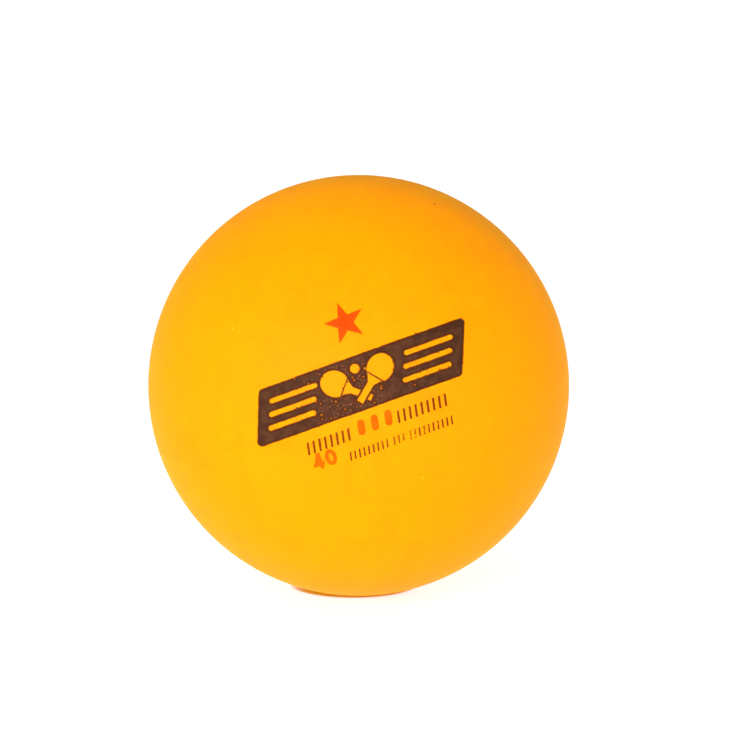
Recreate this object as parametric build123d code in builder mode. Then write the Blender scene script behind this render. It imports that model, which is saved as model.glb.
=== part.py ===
from build123d import *
import os
from math import cos, radians, sin, sqrt, tan

# A 40 mm table tennis ball: two formed half shells, the cement between them, and the printed stamp.
#
# The origin is the ball's centre, +Z is up, and the stamp faces -Y, a little above the pole of the
# front half. The halves meet on the plane Y = 0 in a stepped lap joint: the front half carries a tongue
# on the inside, and the rear half a lip that closes over it. Behind the lap each half keeps a thicker
# band, which runs out into the plain wall. Sizes are in millimetres.

# Shell
ball_diameter = 40.0
wall = 0.37  # plain formed sheet, away from the seam

# Stepped lap joint, as (distance from the Y axis, distance along it)
lip_wall = 0.34  # the rear half's outer lip, at its edge
tongue_wall = 0.34  # the front half's inner tongue
lap_length = 1.0  # how far the tongue reaches into the rear half
band_length = 1.2  # full-thickness band behind the lap, in each half
band_taper = 0.8  # run-out from the band into the plain wall
lead_in = 0.12  # chamfer that guides the tongue under the lip
cement_gap = 0.04  # film of cement everywhere in the lap
bead_radius = 0.22  # cement squeezed out inside the ball

# Stamp: where its centre sits on the front half, and how far its lines climb to the right
stamp_elevation = 9.5
stamp_azimuth = -1.9
stamp_turn = 20.0
ink_film = 0.02  # thickness of a printed film

# Quality star
star_centre = (1.38, 5.72)
star_tip_radius = 2.0
star_notch_radius = 0.81
star_points = 5
star_lean = 2.0

# Emblem panel: a slanted panel with two crossed bats and a ball between ruled bars
panel_centre = (0.85, 0.12)
panel_length = 19.9  # along its middle line
panel_height = 5.0
panel_slant = 22.0  # lean of its two ends
panel_corner = 0.45
crossing_drop = 1.15  # where the handles cross, below the panel's centre
bat_tilt = 50.0
blade_reach = 2.85  # from the crossing to the blade's centre
blade_length = 2.6
blade_width = 2.35
rubber_edge = 0.92  # from the blade's centre down to the straight edge of its rubber
rubber_line = 0.16  # line of ink along that edge
shoulder_width = 1.45  # of the wood that narrows from the blade to the handle
shoulder_length = 0.75
handle_width = 0.56
handle_reach = 3.6  # from the blade's centre to the handle's end
bat_outline = 0.2  # ink kept round the bat in front
bat_ball_radius = 0.42
bat_ball_lift = 1.35  # ball above the panel's centre
bar_length = 4.6
bar_line = 0.42
bar_pitch = 1.15
bar_offset = 6.5  # from the panel's centre to the middle of a bar
bar_rows = (-1, 0, 1)

# Size number, which is the ball's diameter
number_centre = (-4.55, -5.33)
number_height = 1.5
number_width = 1.08  # of one digit
number_spacing = 1.24  # from one digit's middle to the next
number_line = 0.36
four_stem = 0.2  # the 4's upright, to the right of its middle
four_bar = 0.27  # the 4's crossbar, below its middle

# Hatched rows under the panel: each group is its stroke count and the middle of its first stroke
hatch_lean = 12.0
upper_row_height = -3.95
upper_stroke = (0.22, 1.2)
upper_pitch = 0.56
upper_groups = ((8, -5.6), (9, 3.1))
lower_row_height = -5.88
lower_stroke = (0.17, 0.85)
lower_pitch = 0.44
lower_groups = ((9, -2.2), (3, 2.0), (10, 3.55))
accent_row_height = -3.72
accent_stroke = (0.68, 1.45)
accent_pitch = 1.3
accent_groups = ((3, -0.4),)


ball_radius = ball_diameter / 2
inner_radius = ball_radius - wall
half_gap = cement_gap / 2
lip_inside = ball_radius - lip_wall
tongue_outside = lip_inside - cement_gap
band_inside = tongue_outside - tongue_wall
shoulder = lap_length + cement_gap  # where the rear half's inner step starts


def sphere_width(radius, height):
    """Distance from the Y axis to a sphere of this radius, at this height along the axis."""
    return sqrt(radius**2 - height**2)


def make_front_half():
    """The half in front of the seam, from its pole at -Y to the tip of its tongue."""
    taper_end = -band_length - band_taper
    with BuildPart() as front_half:
        with BuildSketch(Plane.XY):
            with BuildLine():
                outer_edge = (sphere_width(ball_radius, half_gap), -half_gap)
                inner_edge = (sphere_width(inner_radius, taper_end), taper_end)
                RadiusArc((0, -ball_radius), outer_edge, -ball_radius)
                Polyline(
                    outer_edge,
                    (tongue_outside, -half_gap),
                    (tongue_outside, lap_length - lead_in),
                    (tongue_outside - lead_in, lap_length),
                    (band_inside, lap_length),
                    (band_inside, -band_length),
                    inner_edge,
                )
                RadiusArc(inner_edge, (0, -inner_radius), inner_radius)
                Line((0, -inner_radius), (0, -ball_radius))
            make_face()
        revolve(axis=Axis.Y)
    return front_half


def make_rear_half():
    """The half behind the seam, from the edge of its lip to its pole at +Y."""
    band_end = shoulder + band_length
    taper_end = band_end + band_taper
    with BuildPart() as rear_half:
        with BuildSketch(Plane.XY):
            with BuildLine():
                outer_edge = (sphere_width(ball_radius, half_gap), half_gap)
                inner_edge = (sphere_width(inner_radius, taper_end), taper_end)
                RadiusArc((0, ball_radius), outer_edge, ball_radius)
                Polyline(
                    outer_edge,
                    (lip_inside, half_gap),
                    (lip_inside, shoulder),
                    (band_inside, shoulder),
                    (band_inside, band_end),
                    inner_edge,
                )
                RadiusArc(inner_edge, (0, inner_radius), -inner_radius)
                Line((0, inner_radius), (0, ball_radius))
            make_face()
        revolve(axis=Axis.Y)
    return rear_half


def make_cement(front_half, rear_half):
    """Whatever the lap leaves open between the halves, and the bead squeezed out of it inside."""
    with BuildPart() as cement:
        with BuildSketch(Plane.XY):
            with Locations((0, (shoulder - half_gap) / 2)):
                Rectangle(2 * ball_diameter, shoulder + half_gap)
            Circle(ball_radius, mode=Mode.INTERSECT)
            Rectangle(2 * band_inside, ball_diameter, mode=Mode.SUBTRACT)
            split(bisect_by=Plane.YZ)
            with Locations((band_inside, lap_length + half_gap)):
                Circle(bead_radius)
        revolve(axis=Axis.Y)
        add(front_half.part, mode=Mode.SUBTRACT)
        add(rear_half.part, mode=Mode.SUBTRACT)
    return cement


def stamp_plane():
    """The plane through the ball's centre that the stamp's artwork is drawn on, seen from outside."""
    azimuth, elevation = radians(stamp_azimuth), radians(stamp_elevation)
    facing = Vector(sin(azimuth) * cos(elevation), -cos(azimuth) * cos(elevation), sin(elevation))
    level = Vector(0, 0, 1).cross(facing)
    baseline = level.rotate(Axis((0, 0, 0), facing), stamp_turn)
    return Plane((0, 0, 0), x_dir=baseline, z_dir=facing)


def print_onto_ball(artwork):
    """Carries flat artwork straight out to the surface, as a film that follows the sphere."""
    with BuildPart() as ink_layer:
        Sphere(ball_radius + ink_film)
        Sphere(ball_radius, mode=Mode.SUBTRACT)
    with BuildPart() as film:
        add(artwork.sketch)
        extrude(amount=ball_radius + 2 * ink_film, dir=stamp_plane().z_dir)
        add(ink_layer.part, mode=Mode.INTERSECT)
    return film


def draw_star():
    """A star with straight edges, a little turned from upright."""
    corners = []
    for i in range(2 * star_points):
        reach = star_notch_radius if i % 2 else star_tip_radius
        turn = radians(90 + star_lean + i * 180 / star_points)
        corners.append((reach * cos(turn), reach * sin(turn)))
    with BuildSketch(stamp_plane()) as star:
        with Locations(star_centre):
            Polygon(*corners, align=None)
    return star


def draw_bat(tilt, margin=0, mode=Mode.SUBTRACT):
    """One bat of the crossed pair, grown by a margin all round."""
    shoulder_top = blade_reach - rubber_edge
    shoulder_foot = shoulder_top - shoulder_length
    handle_end = blade_reach - handle_reach - margin
    half_shoulder = shoulder_width / 2 + margin
    half_handle = handle_width / 2 + margin
    with Locations(Location((0, -crossing_drop), tilt)):
        with Locations((0, blade_reach)):
            Ellipse(blade_width / 2 + margin, blade_length / 2 + margin, mode=mode)
        Polygon(
            (-half_shoulder, shoulder_top),
            (-half_handle, shoulder_foot),
            (-half_handle, handle_end),
            (half_handle, handle_end),
            (half_handle, shoulder_foot),
            (half_shoulder, shoulder_top),
            align=None,
            mode=mode,
        )


def draw_rubber_edge(tilt):
    """The line of ink between a bat's rubber and its handle."""
    with Locations(Location((0, -crossing_drop), tilt)):
        with Locations((0, blade_reach - rubber_edge)):
            Rectangle(blade_width, rubber_line)


def draw_panel():
    """The slanted panel, with the crossed bats, the ball and the bars left open in it."""
    slope = tan(radians(panel_slant))
    half_length, half_height = panel_length / 2, panel_height / 2
    with BuildSketch(stamp_plane()) as panel:
        with Locations(panel_centre):
            Polygon(
                (-half_length - slope * half_height, -half_height),
                (half_length - slope * half_height, -half_height),
                (half_length + slope * half_height, half_height),
                (-half_length + slope * half_height, half_height),
                align=None,
            )
        fillet(panel.vertices(), radius=panel_corner)
        with Locations(panel_centre):
            draw_bat(bat_tilt)
            draw_rubber_edge(bat_tilt)
            draw_bat(-bat_tilt, bat_outline, Mode.ADD)
            draw_bat(-bat_tilt)
            draw_rubber_edge(-bat_tilt)
            with Locations((0, bat_ball_lift)):
                Circle(bat_ball_radius, mode=Mode.SUBTRACT)
            for row in bar_rows:
                with Locations((row * bar_pitch * slope, row * bar_pitch)):
                    with GridLocations(2 * bar_offset, 0, 2, 1):
                        SlotOverall(bar_length, bar_line, mode=Mode.SUBTRACT)
    return panel


def draw_number():
    """The figures 4 and 0, in lines of an even width."""
    half_height, half_width, half_line = number_height / 2, number_width / 2, number_line / 2
    with BuildSketch(stamp_plane()) as number:
        with Locations((number_centre[0] - number_spacing / 2, number_centre[1])):
            with Locations((four_stem, 0)):
                Rectangle(number_line, number_height)
            with Locations((0, -four_bar)):
                Rectangle(number_width, number_line)
            Polygon(
                (-half_width, -four_bar - half_line),
                (-half_width + number_line, -four_bar - half_line),
                (four_stem + half_line, half_height),
                (four_stem - half_line, half_height),
                align=None,
            )
        with Locations((number_centre[0] + number_spacing / 2, number_centre[1])):
            Ellipse(half_width, half_height)
            Ellipse(half_width - number_line, half_height - number_line, mode=Mode.SUBTRACT)
    return number


def draw_hatch(groups, row_height, stroke, pitch):
    """A row of leaning strokes in groups."""
    width, height = stroke
    with BuildSketch(stamp_plane()) as row:
        for count, start in groups:
            for i in range(count):
                with Locations(Location((start + i * pitch, row_height), 90 - hatch_lean)):
                    SlotOverall(height, width)
    return row


front = make_front_half()
rear = make_rear_half()
parts = {
    "front_half_shell": front,
    "rear_half_shell": rear,
    "seam_cement": make_cement(front, rear),
    "print_star": print_onto_ball(draw_star()),
    "print_emblem_panel": print_onto_ball(draw_panel()),
    "print_size_number": print_onto_ball(draw_number()),
    "print_upper_hatch": print_onto_ball(
        draw_hatch(upper_groups, upper_row_height, upper_stroke, upper_pitch)
    ),
    "print_lower_hatch": print_onto_ball(
        draw_hatch(lower_groups, lower_row_height, lower_stroke, lower_pitch)
    ),
    "print_accent_hatch": print_onto_ball(
        draw_hatch(accent_groups, accent_row_height, accent_stroke, accent_pitch)
    ),
}

os.makedirs("parts", exist_ok=True)
for name, builder in parts.items():
    builder.part.label = name
    export_step(builder.part, f"parts/{name}.step")
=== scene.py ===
from math import asin, ceil, cos, pi, radians, sin, sqrt

import bmesh
import bpy
import numpy as np
from mathutils import Matrix, Vector, kdtree, noise
from mathutils.bvhtree import BVHTree


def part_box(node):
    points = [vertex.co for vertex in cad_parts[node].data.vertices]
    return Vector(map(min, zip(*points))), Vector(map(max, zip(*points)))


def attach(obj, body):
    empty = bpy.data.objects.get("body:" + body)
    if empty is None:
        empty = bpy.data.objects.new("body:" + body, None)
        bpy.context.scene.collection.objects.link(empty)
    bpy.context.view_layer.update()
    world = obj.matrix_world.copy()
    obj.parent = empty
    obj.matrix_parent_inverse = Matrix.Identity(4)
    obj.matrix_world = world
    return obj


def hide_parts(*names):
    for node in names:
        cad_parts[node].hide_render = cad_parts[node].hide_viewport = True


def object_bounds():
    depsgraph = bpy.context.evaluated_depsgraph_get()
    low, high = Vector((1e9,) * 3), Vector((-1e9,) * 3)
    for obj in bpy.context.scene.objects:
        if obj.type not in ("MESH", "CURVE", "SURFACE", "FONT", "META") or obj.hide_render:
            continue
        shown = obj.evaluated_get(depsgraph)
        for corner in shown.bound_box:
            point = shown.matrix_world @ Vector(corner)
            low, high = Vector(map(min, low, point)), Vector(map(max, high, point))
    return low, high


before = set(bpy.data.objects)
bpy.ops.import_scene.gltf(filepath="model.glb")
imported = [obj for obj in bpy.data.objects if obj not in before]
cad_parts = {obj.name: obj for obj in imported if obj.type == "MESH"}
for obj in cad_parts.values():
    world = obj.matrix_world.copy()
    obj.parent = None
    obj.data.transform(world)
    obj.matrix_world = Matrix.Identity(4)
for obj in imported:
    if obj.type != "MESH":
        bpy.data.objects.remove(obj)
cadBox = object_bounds()

mm = 0.001
rng = np.random.default_rng(40)

shellLow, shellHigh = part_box("front_half_shell")
ballRadius = (shellHigh.x - shellLow.x) / 2 / mm  # millimetres, as every size below
ballCentre = Vector((0, 0, 0))
floorHeight = cadBox[0][2]

cameraSetup = {
    "distance": 400.0,  # millimetres
    "elevation": 10.0,  # degrees
    "lens": 201.8,
    "aimRight": 1.55,  # the ball sits a little left of the middle and below it
    "aimUp": 0.98,
    "nearClip": 0.01,  # metres
}


def placeCamera(setup):
    tilt = radians(setup["elevation"])
    towardsCamera = Vector((0, -cos(tilt), sin(tilt)))
    upInView = Vector((0, sin(tilt), cos(tilt)))
    place = ballCentre + towardsCamera * setup["distance"] * mm
    aim = ballCentre + Vector((setup["aimRight"] * mm, 0, 0)) + upInView * setup["aimUp"] * mm
    data = bpy.data.cameras.new("camera")
    data.lens = setup["lens"]
    data.clip_start = setup["nearClip"]
    camera = bpy.data.objects.new("camera", data)
    camera.location = place
    camera.rotation_euler = (aim - place).to_track_quat("-Z", "Y").to_euler()
    bpy.context.scene.collection.objects.link(camera)
    bpy.context.scene.camera = camera


placeCamera(cameraSetup)
print("camera placed")


def linear(hexColour):
    # sRGB hex to the linear values that the shaders take
    channels = [int(hexColour[i:i + 2], 16) / 255 for i in (1, 3, 5)]
    return [c / 12.92 if c <= 0.04045 else ((c + 0.055) / 1.055) ** 2.4 for c in channels] + [1.0]


def addNode(tree, kind, values=(), **settings):
    # values fill the inputs in order, or by name from a dictionary, and a socket among them is linked
    node = tree.nodes.new("ShaderNode" + kind)
    for name, value in settings.items():
        setattr(node, name, value)
    for name, value in values.items() if isinstance(values, dict) else enumerate(values):
        if isinstance(value, bpy.types.NodeSocket):
            tree.links.new(value, node.inputs[name])
        else:
            node.inputs[name].default_value = value
    return node.outputs


def newMaterial(name):
    material = bpy.data.materials.new(name)
    material.use_nodes = True
    tree = material.node_tree
    tree.nodes.clear()
    return material, tree


def meshObject(name, mesh, sharpAngle=40):
    data = bpy.data.meshes.new(name)
    mesh.to_mesh(data)
    mesh.free()
    data.polygons.foreach_set("use_smooth", [True] * len(data.polygons))
    data.set_sharp_from_angle(angle=radians(sharpAngle))
    piece = bpy.data.objects.new(name, data)
    bpy.context.scene.collection.objects.link(piece)
    return piece


def finishPiece(piece, material, node):
    piece.data.materials.append(material)
    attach(piece, "root")
    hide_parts(node)


def latheAboutY(name, profile, closed=False):
    # profile is (distance from the Y axis, y) in millimetres; a distance of 0 is a pole
    spokes = 240
    mesh = bmesh.new()
    rings = []
    for reach, y in profile:
        if reach == 0:
            rings.append([mesh.verts.new((0, y * mm, 0))])
            continue
        ring = []
        for k in range(spokes):
            turn = 2 * pi * k / spokes
            ring.append(mesh.verts.new((reach * cos(turn) * mm, y * mm, reach * sin(turn) * mm)))
        rings.append(ring)
    pairs = list(zip(rings, rings[1:])) + ([(rings[-1], rings[0])] if closed else [])
    for first, second in pairs:
        for k in range(spokes):
            corners = [first[k % len(first)], first[(k + 1) % len(first)]]
            corners += [second[(k + 1) % len(second)], second[k % len(second)]]
            mesh.faces.new(list(dict.fromkeys(corners)))
    bmesh.ops.recalc_face_normals(mesh, faces=mesh.faces)
    return meshObject(name, mesh)


shellSizes = {
    "wall": 0.37,
    "lipWall": 0.34,
    "tongueWall": 0.34,
    "lapLength": 1.0,
    "bandLength": 1.2,
    "bandTaper": 0.8,
    "leadIn": 0.12,
    "cementGap": 0.04,
    "edgeRound": 0.05,  # the tumbled edge each half has at the seam
    "cementDip": 0.012,  # the cement line lies this far below the surface
    "beadRadius": 0.22,
    "ringStep": 1.5,  # degrees between two rings of the mesh
    "edgeSteps": 4,  # faces round the tumbled edge
    "beadSteps": 12,  # and round the bead
}


def sphereArc(radius, startY, endY, step):
    # points on a sphere's profile between two heights, both included
    poleTolerance = 1e-9
    start, end = asin(max(-1, min(1, startY / radius))), asin(max(-1, min(1, endY / radius)))
    count = max(1, ceil(abs(end - start) / radians(step)))
    angles = [start + (end - start) * i / count for i in range(count + 1)]
    points = [(radius * cos(a), radius * sin(a)) for a in angles]
    return [(0 if abs(abs(y) - radius) < poleTolerance else reach, y) for reach, y in points]


def seamCorner(sizes, side):
    # the rounded outer edge of a half at the seam; side is -1 in front and 1 behind
    halfGap, roundness = sizes["cementGap"] / 2, sizes["edgeRound"]
    centreY = halfGap + roundness
    centreReach = sqrt((ballRadius - roundness) ** 2 - centreY**2)
    start, points = asin(centreY / (ballRadius - roundness)), []
    for i in range(sizes["edgeSteps"] + 1):
        turn = start + (-pi / 2 - start) * i / sizes["edgeSteps"]
        points.append((centreReach + roundness * cos(turn), side * (centreY + roundness * sin(turn))))
    return points


def makeFrontHalf(sizes):
    innerRadius = ballRadius - sizes["wall"]
    tongueOutside = ballRadius - sizes["lipWall"] - sizes["cementGap"]
    bandInside = tongueOutside - sizes["tongueWall"]
    corner = seamCorner(sizes, -1)
    taperEnd = -sizes["bandLength"] - sizes["bandTaper"]
    profile = sphereArc(ballRadius, -ballRadius, corner[0][1], sizes["ringStep"])[:-1] + corner
    profile += [
        (tongueOutside, -sizes["cementGap"] / 2),
        (tongueOutside, sizes["lapLength"] - sizes["leadIn"]),
        (tongueOutside - sizes["leadIn"], sizes["lapLength"]),
        (bandInside, sizes["lapLength"]),
        (bandInside, -sizes["bandLength"]),
    ]
    profile += sphereArc(innerRadius, taperEnd, -innerRadius, sizes["ringStep"])
    return latheAboutY("frontHalfShell", profile)


def makeRearHalf(sizes):
    innerRadius = ballRadius - sizes["wall"]
    lipInside = ballRadius - sizes["lipWall"]
    bandInside = lipInside - sizes["cementGap"] - sizes["tongueWall"]
    shoulder = sizes["lapLength"] + sizes["cementGap"]
    corner = seamCorner(sizes, 1)
    bandEnd = shoulder + sizes["bandLength"]
    profile = sphereArc(ballRadius, ballRadius, corner[0][1], sizes["ringStep"])[:-1] + corner
    profile += [
        (lipInside, sizes["cementGap"] / 2),
        (lipInside, shoulder),
        (bandInside, shoulder),
        (bandInside, bandEnd),
    ]
    profile += sphereArc(innerRadius, bandEnd + sizes["bandTaper"], innerRadius, sizes["ringStep"])
    return latheAboutY("rearHalfShell", profile)


def makeCement(sizes):
    halfGap, lap = sizes["cementGap"] / 2, sizes["lapLength"]
    lipInside = ballRadius - sizes["lipWall"]
    tongueOutside = lipInside - sizes["cementGap"]
    bandInside = tongueOutside - sizes["tongueWall"]
    shoulder = lap + sizes["cementGap"]
    outside = ballRadius - sizes["cementDip"]
    beadCentre = lap + halfGap
    profile = [
        (outside, -halfGap),
        (outside, halfGap),
        (lipInside, halfGap),
        (lipInside, shoulder),
        (bandInside, shoulder),
    ]
    for i in range(sizes["beadSteps"] + 1):  # the bead that was squeezed out inside the ball
        turn = pi / 2 + pi * i / sizes["beadSteps"]
        profile.append((
            bandInside + sizes["beadRadius"] * cos(turn),
            beadCentre + sizes["beadRadius"] * sin(turn),
        ))
    profile += [
        (bandInside, lap),
        (tongueOutside - sizes["leadIn"], lap),
        (tongueOutside, lap - sizes["leadIn"]),
        (tongueOutside, -halfGap),
    ]
    return latheAboutY("seamCement", profile, closed=True)


stamp = {
    "elevation": 9.5,  # where it faces, in degrees
    "azimuth": -1.9,
    "turn": 20.0,  # of its baseline
    "film": 0.02,  # ink thickness in the middle of a mark
    "edgeFilm": 0.007,  # and at its edge
    "edgeWidth": 0.12,  # over which it thins out
    "rooted": 0.004,  # the film's underside lies this far inside the shell's face
    "outlineSpacing": 0.02,
    "sideLean": 0.3,  # faces that lean less than this towards the stamp's axis are side walls
    "margin": 0.25,  # of the grid, round a mark
}


def stampAxes():
    azimuth, elevation = radians(stamp["azimuth"]), radians(stamp["elevation"])
    facing = Vector((sin(azimuth) * cos(elevation), -cos(azimuth) * cos(elevation), sin(elevation)))
    level = Vector((0, 0, 1)).cross(facing).normalized()
    baseline = Matrix.Rotation(radians(stamp["turn"]), 3, facing) @ level
    return baseline, facing.cross(baseline), facing


baseline, upright, facing = stampAxes()


def outlineOf(node):
    # the mark's outline as points across and up the stamp, from the film's side walls
    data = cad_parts[node].data
    points = []
    for face in data.polygons:
        if abs(face.normal.dot(facing)) > stamp["sideLean"]:
            continue
        corners = [data.vertices[i].co / mm for i in face.vertices]
        flat = [Vector((c.dot(baseline), c.dot(upright))) for c in corners]
        for a, b in zip(flat, flat[1:] + flat[:1]):
            steps = max(1, ceil((b - a).length / stamp["outlineSpacing"]))
            points += [a.lerp(b, i / steps) for i in range(steps)]
    return points


def insideTester(node):
    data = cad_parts[node].data
    tree = BVHTree.FromPolygons([v.co for v in data.vertices], [list(p.vertices) for p in data.polygons])
    lift = facing * (ballRadius + 1) * mm  # rays start clear of the ball
    return lambda across, up: tree.ray_cast(
        (baseline * across + upright * up) * mm + lift, -facing, ballRadius * mm
    )[0] is not None


def inkField(node, cell):
    # signed distance to the outline on a grid, in millimetres, positive inside the mark
    outline = outlineOf(node)
    tree = kdtree.KDTree(len(outline))
    for i, point in enumerate(outline):
        tree.insert((point.x, point.y, 0), i)
    tree.balance()
    inside = insideTester(node)
    margin = stamp["margin"]
    lowX, highX = min(p.x for p in outline) - margin, max(p.x for p in outline) + margin
    lowY, highY = min(p.y for p in outline) - margin, max(p.y for p in outline) + margin
    across = np.arange(lowX, highX + cell, cell)
    up = np.arange(lowY, highY + cell, cell)
    field = np.empty((len(across), len(up)))
    for i, x in enumerate(across):
        for j, y in enumerate(up):
            distance = tree.find((x, y, 0))[2]
            field[i, j] = distance if inside(x, y) else -distance
    return across, up, field


def roughen(across, up, field, look):
    # the printed edge wanders, dust leaves pinholes in the ink, and beads of it cling to the edge
    grainSeed = 5  # keeps the two noises apart
    for i, x in enumerate(across):
        for j, y in enumerate(up):
            wander = noise.noise(Vector((x, y, look["seed"])) / look["waveLength"])
            grain = noise.noise(Vector((x, y, look["seed"] + grainSeed)) / look["grainLength"])
            field[i, j] += look["wave"] * wander + look["grain"] * grain
    gridX, gridY = np.meshgrid(across, up, indexing="ij")

    def distanceTo(spot):
        return np.hypot(gridX - spot[0], gridY - spot[1])

    for _ in range(look["pinholes"]):
        spot = (rng.normal(look["wornAt"], look["wornSpread"]), rng.uniform(up[0], up[-1]))
        least = look["leastPinhole"]
        radius = look["pinholeSize"] * (least + (1 - least) * rng.uniform() ** 3)
        field = np.minimum(field, distanceTo(spot) - radius)
    justOutside = np.argwhere((field < 0) & (field > -look["speckReach"] * look["speckSize"]))
    for i, j in rng.choice(justOutside, look["specks"]):
        radius = look["speckSize"] * rng.uniform(*look["speckRange"])
        field = np.maximum(field, radius - distanceTo((across[i], up[j])))
    return field


def onBall(x, y, radius):
    # carries a point of the flat artwork straight out to a sphere
    return (baseline * x + upright * y + facing * sqrt(radius**2 - x * x - y * y)) * mm


def makeMark(name, node, look):
    across, up, field = inkField(node, look["cell"])
    field = roughen(across, up, field, look)
    mesh = bmesh.new()
    cutTolerance, weldDistance = 1e-5, 1e-7
    grid, reach = {}, 2 * look["cell"]
    keep = field > -reach
    for i in range(len(across) - 1):
        for j in range(len(up) - 1):
            if not keep[i:i + 2, j:j + 2].any():
                continue
            cornerKeys = [(i, j), (i + 1, j), (i + 1, j + 1), (i, j + 1)]
            for key in cornerKeys:
                if key not in grid:
                    grid[key] = mesh.verts.new((across[key[0]], up[key[1]], field[key]))
            a, b, c, d = [grid[key] for key in cornerKeys]
            mesh.faces.new((a, b, c))
            mesh.faces.new((a, c, d))
    everything = mesh.verts[:] + mesh.edges[:] + mesh.faces[:]
    bmesh.ops.bisect_plane(
        mesh, geom=everything, dist=cutTolerance, plane_co=(0, 0, 0), plane_no=(0, 0, 1), clear_inner=True
    )
    edgeDistance = mesh.verts.layers.float.new("edgeDistance")
    stampPlace = mesh.verts.layers.float_vector.new("stampPlace")
    for vert in mesh.verts:
        vert[edgeDistance] = max(vert.co.z, 0)
        vert[stampPlace] = (vert.co.x, vert.co.y, 0)
    grown = bmesh.ops.extrude_face_region(mesh, geom=mesh.faces[:], use_keep_orig=True)
    top = {v for v in grown["geom"] if isinstance(v, bmesh.types.BMVert)}
    swell = stamp["film"] - stamp["edgeFilm"]
    for vert in mesh.verts:
        x, y, depth = vert.co
        thickness = stamp["edgeFilm"] + swell * min(1, depth / stamp["edgeWidth"])
        vert.co = onBall(x, y, ballRadius + (thickness if vert in top else -stamp["rooted"]))
    bmesh.ops.remove_doubles(mesh, verts=mesh.verts, dist=weldDistance)
    bmesh.ops.recalc_face_normals(mesh, faces=mesh.faces)
    return meshObject(name, mesh)


shellLook = {
    "deep": "#f88a00",
    "light": "#fd9000",
    "cloudSize": 9.0,  # drifts in tone where the sheet formed a little thicker or thinner
    "smudgeSize": 3.5,  # faint handling marks
    "smudge": 0.2,
    "smudgeRange": (0.56, 0.74),  # of the noise
    "smudgeTone": "#ee7e00",
    "scatter": (0.45, 0.25, 0.05),  # how far red, green and blue light travel in the sheet
    "roughness": 0.55,
    "ior": 1.5,
    "specular": 0.035,
    "grainSize": 0.45,  # the tumbled grain is finer than this, and is drawn coarse enough to show
    "grainDepth": 0.004,
    "seamTone": "#ee8200",
    "seamWidth": 0.3,
    "fleckCore": 0.4,  # the share of its radius over which a fleck is even
    # dust and pale spots in the sheet: azimuth and elevation in degrees, radius, strength, tone
    "flecks": (
        (54.6, 64.3, 0.17, 0.95, "#6a2c06"),
        (-22.0, 35.3, 0.12, 0.35, "#7a3a08"),
        (30.7, 30.1, 0.12, 0.4, "#7a3a08"),
        (-38.8, 23.0, 0.16, 0.5, "#ffc850"),
        (17.6, -15.5, 0.14, 0.5, "#ffc850"),
        (-118.0, 22.0, 0.12, 0.5, "#7a3a08"),
        (152.0, -8.0, 0.14, 0.5, "#ffc850"),
        (-160.0, 41.0, 0.12, 0.6, "#6a2c06"),
    ),
}


def celluloidShell(look):
    # celluloid tumbled matt: deep orange that glows a little, with hardly any highlight
    material, tree = newMaterial("tumbledCelluloid")
    place = addNode(tree, "TexCoord")["Object"]
    clouds = 1 / (look["cloudSize"] * mm)
    cloud = addNode(tree, "TexNoise", {"Vector": place, "Scale": clouds, "Detail": 3.0})
    colour = addNode(tree, "MixRGB", (cloud["Fac"], linear(look["deep"]), linear(look["light"])))["Color"]

    smudges = addNode(tree, "TexNoise", {"Vector": place, "Scale": 1 / (look["smudgeSize"] * mm)})
    smudge = addNode(
        tree, "MapRange", (smudges["Fac"], *look["smudgeRange"], 0.0, look["smudge"]),
        interpolation_type="SMOOTHSTEP",
    )
    colour = addNode(tree, "MixRGB", (smudge["Result"], colour, linear(look["smudgeTone"])))["Color"]

    # the wall is thicker behind the seam and shows a deeper line there
    fromSeam = addNode(tree, "Math", (addNode(tree, "SeparateXYZ", (place,))["Y"],), operation="ABSOLUTE")
    seam = addNode(
        tree, "MapRange", (fromSeam["Value"], 0.0, look["seamWidth"] * mm, 1.0, 0.0),
        interpolation_type="SMOOTHSTEP",
    )
    colour = addNode(tree, "MixRGB", (seam["Result"], colour, linear(look["seamTone"])))["Color"]

    for azimuth, elevation, radius, strength, tone in look["flecks"]:
        a, e = radians(azimuth), radians(elevation)
        spot = Vector((sin(a) * cos(e), -cos(a) * cos(e), sin(e))) * ballRadius * mm
        away = addNode(tree, "VectorMath", (place, spot), operation="DISTANCE")["Value"]
        fleck = addNode(
            tree, "MapRange", (away, look["fleckCore"] * radius * mm, radius * mm, strength, 0.0),
            interpolation_type="SMOOTHSTEP",
        )
        colour = addNode(tree, "MixRGB", (fleck["Result"], colour, linear(tone)))["Color"]

    fineness = 1 / (look["grainSize"] * mm)
    grain = addNode(tree, "TexNoise", {"Vector": place, "Scale": fineness, "Detail": 4.0})
    depth = look["grainDepth"] * mm
    bump = addNode(tree, "Bump", {"Height": grain["Fac"], "Strength": 1.0, "Distance": depth})
    shader = addNode(tree, "BsdfPrincipled", {
        "Base Color": colour,
        "Roughness": look["roughness"],
        "IOR": look["ior"],
        "Specular IOR Level": look["specular"],
        "Subsurface Weight": 1.0,
        "Subsurface Radius": look["scatter"],
        "Subsurface Scale": 1 * mm,
        "Normal": bump["Normal"],
    })
    addNode(tree, "OutputMaterial", {"Surface": shader["BSDF"]})
    return material


cementLook = {
    "tone": "#e87e00",
    "paleTone": "#f28a00",
    "patchSize": 1.5,
    "roughness": 0.35,
    "ior": 1.5,
    "specular": 0.3,
}


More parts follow.
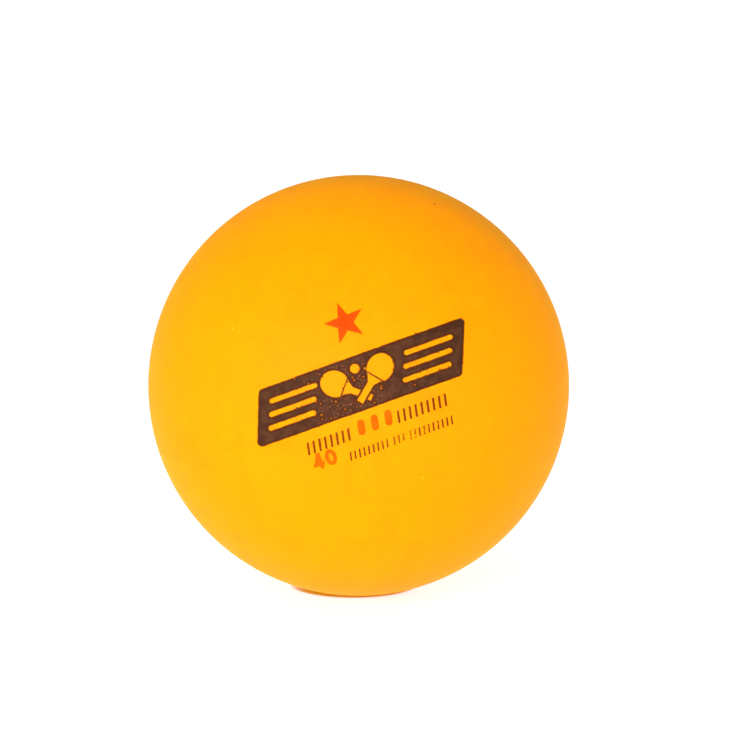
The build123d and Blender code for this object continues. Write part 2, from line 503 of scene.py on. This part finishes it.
def driedCement(look):
    # celluloid dissolved in solvent and dried: the ball's own colour, denser and smoother
    material, tree = newMaterial("driedCelluloidCement")
    place = addNode(tree, "TexCoord")["Object"]
    patches = addNode(tree, "TexNoise", {"Vector": place, "Scale": 1 / (look["patchSize"] * mm)})
    colour = addNode(tree, "MixRGB", (patches["Fac"], linear(look["tone"]), linear(look["paleTone"])))
    shader = addNode(tree, "BsdfPrincipled", {
        "Base Color": colour["Color"],
        "Roughness": look["roughness"],
        "IOR": look["ior"],
        "Specular IOR Level": look["specular"],
    })
    addNode(tree, "OutputMaterial", {"Surface": shader["BSDF"]})
    return material


darkInkLook = {
    "name": "darkBrownPadInk",
    "tone": "#3b2114",
    "paleTone": "#4a2c1c",
    "mottle": 0.9,  # size of the drifts in tone
    "mottleRange": (0.35, 0.65),
    "rimTone": "#361808",
    "rimWidth": 0.26,
    "rimStrength": 0.85,
    "fringeTone": "#7e400a",
    "fringeWidth": 0.14,
    # pinkish and paler than the ink: painted glints on the ink's grain, mixed with wear
    "wearAndGlintTone": "#8c5032",
    "wornAt": -0.2,  # across the stamp, where the speckle of wear and painted glints is thickest
    "wearAndGlintReach": 5.0,
    "wearAndGlintGrain": 0.12,
    "wearAndGlintRange": (0.55, 0.68),
    "drawnOut": 0.55,  # the speckle is longer up the stamp than across it
    "wearAndGlint": 0.9,
    "roughness": 0.55,
    "ior": 1.5,
    "specular": 0.02,
    "skinGrain": 0.15,
    "skinDepth": 0.006,
    "skinStrength": 0.6,
}
thinInkLook = {
    **darkInkLook,  # the same ink, redder where its lines are fine and its film is thin
    "name": "thinBrownPadInk",
    "tone": "#6a2e06",
    "paleTone": "#7c3a08",
    "rimTone": "#6c3006",
    "rimWidth": 0.14,
    "fringeTone": "#a04c06",
    "fringeWidth": 0.045,
    "wearAndGlint": 0.0,
}
fadedInkLook = {
    **thinInkLook,  # and where the pad hardly touched the ball
    "name": "fadedBrownPadInk",
    "wearAndGlintTone": "#e08000",
    "wornAt": 3.0,
    "wearAndGlintReach": 3.2,
    "wearAndGlintGrain": 0.3,
    "wearAndGlintRange": (0.3, 0.55),
    "wearAndGlint": 0.95,
}
redInkLook = {
    **darkInkLook,
    "name": "orangeRedPadInk",
    "tone": "#f03904",
    "paleTone": "#f03e05",
    "rimTone": "#ec3c04",
    "fringeTone": "#f25602",
    "fringeWidth": 0.12,
    "wearAndGlint": 0.0,
}
orangeInkLook = {
    **redInkLook,
    "name": "orangePadInk",
    "tone": "#b24a00",
    "paleTone": "#c45400",
    "rimTone": "#ba4f00",
    "rimWidth": 0.14,
    "fringeTone": "#dc6400",
    "fringeWidth": 0.07,
}


def padInk(look):
    # pad-printed ink: a thin matt film, darker where it piles up at the rim, and speckled paler where it
    # wore thin;
    # in the dark ink that pale pinkish speckle is also painted glints on the ink's grain
    material, tree = newMaterial(look["name"])
    place = addNode(tree, "Attribute", attribute_name="stampPlace")["Vector"]
    edge = addNode(tree, "Attribute", attribute_name="edgeDistance")["Fac"]
    mottle = addNode(tree, "TexNoise", {"Vector": place, "Scale": 1 / look["mottle"], "Detail": 5.0})
    tone = addNode(
        tree, "MapRange", (mottle["Fac"], *look["mottleRange"]), interpolation_type="SMOOTHSTEP"
    )
    colour = addNode(
        tree, "MixRGB", (tone["Result"], linear(look["tone"]), linear(look["paleTone"]))
    )["Color"]
    # pale speckle: worn ink, and in the dark ink painted glints on its grain
    if look["wearAndGlint"]:
        across = addNode(tree, "SeparateXYZ", (place,))["X"]
        offset = addNode(tree, "Math", (across, look["wornAt"]), operation="SUBTRACT")["Value"]
        fromMiddle = addNode(tree, "Math", (offset,), operation="ABSOLUTE")["Value"]
        area = addNode(
            tree, "MapRange", (fromMiddle, 0.0, look["wearAndGlintReach"], look["wearAndGlint"], 0.0),
            interpolation_type="SMOOTHSTEP",
        )
        drawn = addNode(tree, "Mapping", {"Vector": place, "Scale": (1.0, look["drawnOut"], 1.0)})["Vector"]
        wearAndGlintNoise = addNode(tree, "TexNoise", {"Vector": drawn, "Scale": 1 / look["wearAndGlintGrain"]})["Fac"]
        speckle = addNode(tree, "MapRange", (wearAndGlintNoise, *look["wearAndGlintRange"]), interpolation_type="SMOOTHSTEP")
        wearAndGlintMask = addNode(tree, "Math", (speckle["Result"], area["Result"]), operation="MULTIPLY")["Value"]
        colour = addNode(tree, "MixRGB", (wearAndGlintMask, colour, linear(look["wearAndGlintTone"])))["Color"]
    rim = addNode(
        tree, "MapRange", (edge, look["fringeWidth"], look["rimWidth"], look["rimStrength"], 0.0),
        interpolation_type="SMOOTHSTEP",
    )
    colour = addNode(tree, "MixRGB", (rim["Result"], colour, linear(look["rimTone"])))["Color"]
    fringe = addNode(
        tree, "MapRange", (edge, 0.0, look["fringeWidth"], 1.0, 0.0), interpolation_type="SMOOTHSTEP"
    )
    colour = addNode(tree, "MixRGB", (fringe["Result"], colour, linear(look["fringeTone"])))["Color"]
    skin = addNode(tree, "TexNoise", {"Vector": place, "Scale": 1 / look["skinGrain"], "Detail": 3.0})
    bump = addNode(tree, "Bump", {
        "Height": skin["Fac"],
        "Strength": look["skinStrength"],
        "Distance": look["skinDepth"] * mm,
    })
    shader = addNode(tree, "BsdfPrincipled", {
        "Base Color": colour,
        "Roughness": look["roughness"],
        "IOR": look["ior"],
        "Specular IOR Level": look["specular"],
        "Normal": bump["Normal"],
    })
    addNode(tree, "OutputMaterial", {"Surface": shader["BSDF"]})
    return material


shellMaterial = celluloidShell(shellLook)
finishPiece(makeFrontHalf(shellSizes), shellMaterial, "front_half_shell")
finishPiece(makeRearHalf(shellSizes), shellMaterial, "rear_half_shell")
finishPiece(makeCement(shellSizes), driedCement(cementLook), "seam_cement")
print("shells and cement made")

panelLook = {
    "cell": 0.05,  # of the grid that the mark is traced on, in millimetres
    "seed": 1,
    "wave": 0.03,  # how far the edge wanders
    "waveLength": 0.8,
    "grain": 0.026,  # and how rough it is
    "grainLength": 0.16,
    "pinholes": 34,
    "pinholeSize": 0.08,
    "wornAt": -0.6,  # the pinholes lie round this place across the stamp
    "wornSpread": 3.0,
    "leastPinhole": 0.35,  # as a share of the largest
    "specks": 30,
    "speckSize": 0.075,
    "speckReach": 0.5,  # how far off the edge one may start, as a share of its size
    "speckRange": (0.7, 1.1),
}
starLook = {
    **panelLook,
    "cell": 0.045,
    "seed": 2,
    "wave": 0.02,
    "grain": 0.012,
    "pinholes": 0,
    "specks": 0,
}
fineLook = {
    **starLook,
    "cell": 0.035,
    "seed": 3,
    "wave": 0.014,
    "waveLength": 0.5,
    "grain": 0.018,
    "grainLength": 0.12,
}
fadedLook = {
    **fineLook,
    "pinholes": 70,
    "pinholeSize": 0.1,
    "wornAt": 3.2,
    "wornSpread": 1.5,
}
darkInk, thinInk, fadedInk = padInk(darkInkLook), padInk(thinInkLook), padInk(fadedInkLook)
redInk, orangeInk = padInk(redInkLook), padInk(orangeInkLook)
marks = (
    ("starPrint", "print_star", "red_ink", redInk, starLook),
    ("emblemPanelPrint", "print_emblem_panel", "dark_ink", darkInk, panelLook),
    ("sizeNumberPrint", "print_size_number", "orange_ink", orangeInk, fineLook),
    ("accentHatchPrint", "print_accent_hatch", "orange_ink", orangeInk, fineLook),
    ("upperHatchPrint", "print_upper_hatch", "dark_ink", thinInk, fineLook),
    ("lowerHatchPrint", "print_lower_hatch", "dark_ink", fadedInk, fadedLook),
)
for name, node, slot, material, look in marks:
    finishPiece(makeMark(name, node, look), material, node)
    print("printed", name)


studio = {
    "tableReach": 4.0,  # metres from its middle to its edge
    "glow": 0.61,  # of the light table
    "paintedGlowNearBall": 0.095,  # painted extra glow round the ball, which clears the ball's cast shadow from the table
    "paintedGlowReach": 200.0,
    "albedo": 0.5,
    "roughness": 0.8,
    "specular": 0.1,
    # painted contact shadow where the ball sits: a dimmer glow tinted orange as a painted reflection of the
    # ball, which dies away behind it
    "paintedShadowCentre": (-0.5, 3.0, 0.0),
    "paintedShadowRadius": 5.7,
    "paintedShadowFade": 0.7,
    "paintedShadowBehind": (-0.5, 5.0),
    "paintedShadowTone": "#dc9f19",
    "paintedShadowGlow": 0.48,
    "horizon": 0.5,  # the room's light, level with the ball and overhead
    "zenith": 0.37,
    "lightDistance": 0.9,  # metres
    # softboxes: azimuth and elevation in degrees, size in metres, watts
    "softboxes": (
        (-30, 13, 0.5, 8.5),
        (30, 13, 0.5, 4.3),
        (0, 13, 0.5, 1.9),
        (-60, 15, 0.5, 0.5),
    ),
    "backSoftbox": (180, 8, 0.3, 6.0),
}


def lightTable(look):
    # opal acrylic lit from beneath: even white, with painted extra glow round the ball that clears its cast
    # shadow, and a painted contact shadow under it, tinted orange as a painted reflection of the ball
    material, tree = newMaterial("opalAcrylic")
    white = (1, 1, 1, 1)
    place = addNode(tree, "TexCoord")["Object"]
    # painted contact shadow: a disc under the ball, dimmed and tinted orange as a painted reflection of the
    # ball, fading out behind it
    centre = Vector(look["paintedShadowCentre"]) * mm
    away = addNode(tree, "VectorMath", (place, centre), operation="DISTANCE")["Value"]
    paintedShadowEdge = (look["paintedShadowRadius"] + look["paintedShadowFade"]) * mm
    disc = addNode(
        tree, "MapRange", (away, look["paintedShadowRadius"] * mm, paintedShadowEdge, 1.0, 0.0),
        interpolation_type="SMOOTHSTEP",
    )
    fadeStart, fadeEnd = look["paintedShadowBehind"]
    behind = addNode(tree, "SeparateXYZ", (place,))["Y"]
    fade = addNode(
        tree, "MapRange", (behind, fadeStart * mm, fadeEnd * mm, 1.0, 0.0), interpolation_type="SMOOTHSTEP"
    )
    paintedShadow = addNode(tree, "Math", (disc["Result"], fade["Result"]), operation="MULTIPLY")["Value"]
    paintedShadowTint = addNode(tree, "MixRGB", (paintedShadow, white, linear(look["paintedShadowTone"])))["Color"]
    grey = (look["albedo"],) * 3 + (1,)
    colour = addNode(tree, "MixRGB", (1.0, paintedShadowTint, grey), blend_type="MULTIPLY")["Color"]
    # painted glow, brightest at the ball and fading out with distance, which hides the ball's cast shadow
    # on the table
    paintedGlowAtBall = look["glow"] + look["paintedGlowNearBall"]
    glow = addNode(
        tree, "MapRange", (away, 0.0, look["paintedGlowReach"] * mm, paintedGlowAtBall, look["glow"]),
        interpolation_type="SMOOTHSTEP",
    )
    # the table glows dimmer inside the painted contact shadow
    strength = addNode(tree, "MapRange", (paintedShadow, 0.0, 1.0, glow["Result"], look["paintedShadowGlow"]))
    shader = addNode(tree, "BsdfPrincipled", {
        "Base Color": colour,
        "Roughness": look["roughness"],
        "Specular IOR Level": look["specular"],
        "Emission Color": paintedShadowTint,
        "Emission Strength": strength["Result"],
    })
    addNode(tree, "OutputMaterial", {"Surface": shader["BSDF"]})
    return material


def makeTable(look):
    mesh = bmesh.new()
    bmesh.ops.create_grid(mesh, x_segments=8, y_segments=8, size=look["tableReach"])
    table = meshObject("lightTable", mesh)
    table.location.z = floorHeight
    table.data.materials.append(lightTable(look))


def softbox(name, azimuth, elevation, size, power):
    data = bpy.data.lights.new(name, "AREA")
    data.shape = "DISK"
    data.size = size
    data.energy = power
    light = bpy.data.objects.new(name, data)
    a, e = radians(azimuth), radians(elevation)
    light.location = Vector((sin(a) * cos(e), -cos(a) * cos(e), sin(e))) * studio["lightDistance"]
    light.rotation_euler = (-light.location).to_track_quat("-Z", "Y").to_euler()
    bpy.context.scene.collection.objects.link(light)
    return light


def makeSky(look):
    # an even white room, a little dimmer overhead
    world = bpy.data.worlds.new("studio")
    bpy.context.scene.world = world
    world.use_nodes = True
    tree = world.node_tree
    tree.nodes.clear()
    height = addNode(tree, "SeparateXYZ", (addNode(tree, "TexCoord")["Generated"],))["Z"]
    strength = addNode(tree, "MapRange", (height, 0.0, 1.0, look["horizon"], look["zenith"]))["Result"]
    background = addNode(tree, "Background", ((1, 1, 1, 1), strength))["Background"]
    addNode(tree, "OutputWorld", {"Surface": background})


makeTable(studio)
makeSky(studio)
for azimuth, elevation, size, power in studio["softboxes"]:
    softbox("softbox", azimuth, elevation, size, power)
# one more behind lights the table's far side and the ball's back, without a glare along its top
softbox("backSoftbox", *studio["backSoftbox"]).visible_glossy = False
bpy.context.scene.view_settings.view_transform = "Standard"
bpy.context.scene.view_settings.look = "None"
print("stage set")
